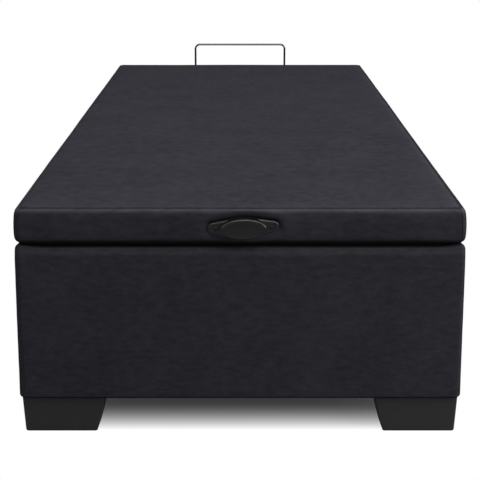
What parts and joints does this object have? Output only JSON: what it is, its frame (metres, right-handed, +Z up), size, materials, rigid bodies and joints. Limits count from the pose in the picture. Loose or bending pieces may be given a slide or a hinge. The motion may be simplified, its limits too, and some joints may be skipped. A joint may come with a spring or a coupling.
{
  "type": "storage bed base",
  "caption": "Upholstered single storage bed base with a hinged padded lid on gas struts, a cup pull, a mattress bar and tapered block feet.",
  "frame": {"origin": "centre of the bounding box's footprint, on the floor", "axes": "+X to the right seen from the end with the pull, +Y along the bed towards the hinges and the mattress bar, +Z up"},
  "size_m": [0.904, 2.0266, 0.56],
  "materials": {
    "chipboard": "raw particle board",
    "softwood": "planed pine",
    "hardboard": "smooth hardboard",
    "cover_cloth": "matt charcoal brushed microfibre",
    "dust_cloth": "black non-woven cloth",
    "foam": "open-cell polyurethane foam",
    "foot_plastic": "satin black moulded plastic",
    "pull_plastic": "satin black moulded plastic",
    "pull_screw": "blackened steel",
    "bar_chrome": "bright chrome plate",
    "hinge_steel": "zinc-plated steel",
    "screw_steel": "zinc-plated steel",
    "bracket_steel": "zinc-plated pressed steel",
    "strut_paint": "black enamelled steel tube",
    "strut_chrome": "hard-chromed ground rod",
    "gland_plastic": "black nylon",
    "piston_metal": "turned steel"
  },
  "bodies": {
    "box": {"box_side_left": "chipboard", "box_side_right": "chipboard", "box_front_board": "chipboard", "box_rear_board": "chipboard", "box_corner_posts": "softwood", "foot_blocks": "softwood", "floor_bearers": "softwood", "floor_panel": "hardboard", "box_cover": "cover_cloth", "base_cloth": "dust_cloth", "foot_front_left": "foot_plastic", "foot_front_right": "foot_plastic", "foot_rear_left": "foot_plastic", "foot_rear_right": "foot_plastic", "foot_studs": "screw_steel", "hinge_box_leaves": "hinge_steel", "hinge_pins": "hinge_steel", "hinge_box_screws": "screw_steel", "strut_box_bracket_left": "bracket_steel", "strut_box_bracket_right": "bracket_steel", "box_bracket_screws": "screw_steel", "box_stud_clips": "screw_steel"},
    "lid": {"lid_rail_left": "softwood", "lid_rail_right": "softwood", "lid_rail_front": "softwood", "lid_rail_rear": "softwood", "lid_slats": "softwood", "lid_deck": "chipboard", "lid_foam": "foam", "lid_cover": "cover_cloth", "lid_lining": "dust_cloth", "pull_handle": "pull_plastic", "pull_screws": "pull_screw", "mattress_bar": "bar_chrome", "bar_screws": "screw_steel", "hinge_lid_leaves": "hinge_steel", "hinge_lid_screws": "screw_steel", "strut_lid_bracket_left": "bracket_steel", "strut_lid_bracket_right": "bracket_steel", "lid_bracket_screws": "screw_steel", "lid_stud_clips": "screw_steel"},
    "cylinder_left": {"strut_cylinder_left": "strut_paint", "strut_gland_left": "gland_plastic"},
    "cylinder_right": {"strut_cylinder_right": "strut_paint", "strut_gland_right": "gland_plastic"},
    "rod_left": {"strut_rod_left": "strut_chrome", "strut_piston_left": "piston_metal"},
    "rod_right": {"strut_rod_right": "strut_chrome", "strut_piston_right": "piston_metal"}
  },
  "joints": [
    {"name": "lid_hinge", "type": "hinge", "parent": "box", "child": "lid", "pos_m": [0, 1.00882, 0.41025], "axis": [-1, 0, 0], "range_deg": [0, 50]},
    {"name": "cylinder_left_pivot", "type": "hinge", "parent": "box", "child": "cylinder_left", "pos_m": [-0.4, 0.88606, 0.147], "axis": [-1, 0, 0], "range_deg": [0, 25]},
    {"name": "cylinder_right_pivot", "type": "hinge", "parent": "box", "child": "cylinder_right", "pos_m": [0.4, 0.88606, 0.147], "axis": [-1, 0, 0], "range_deg": [0, 25]},
    {"name": "rod_left_pivot", "type": "hinge", "parent": "lid", "child": "rod_left", "pos_m": [-0.4, 0.71874, 0.39525], "axis": [-1, 0, 0], "range_deg": [-25, 0]},
    {"name": "rod_right_pivot", "type": "hinge", "parent": "lid", "child": "rod_right", "pos_m": [0.4, 0.71874, 0.39525], "axis": [-1, 0, 0], "range_deg": [-25, 0]}
  ],
  "couplings": [
    {"joint": "cylinder_left_pivot", "follows": "lid_hinge", "ratio": 0.5},
    {"joint": "cylinder_right_pivot", "follows": "lid_hinge", "ratio": 0.5},
    {"joint": "rod_left_pivot", "follows": "lid_hinge", "ratio": -0.5},
    {"joint": "rod_right_pivot", "follows": "lid_hinge", "ratio": -0.5}
  ]
}
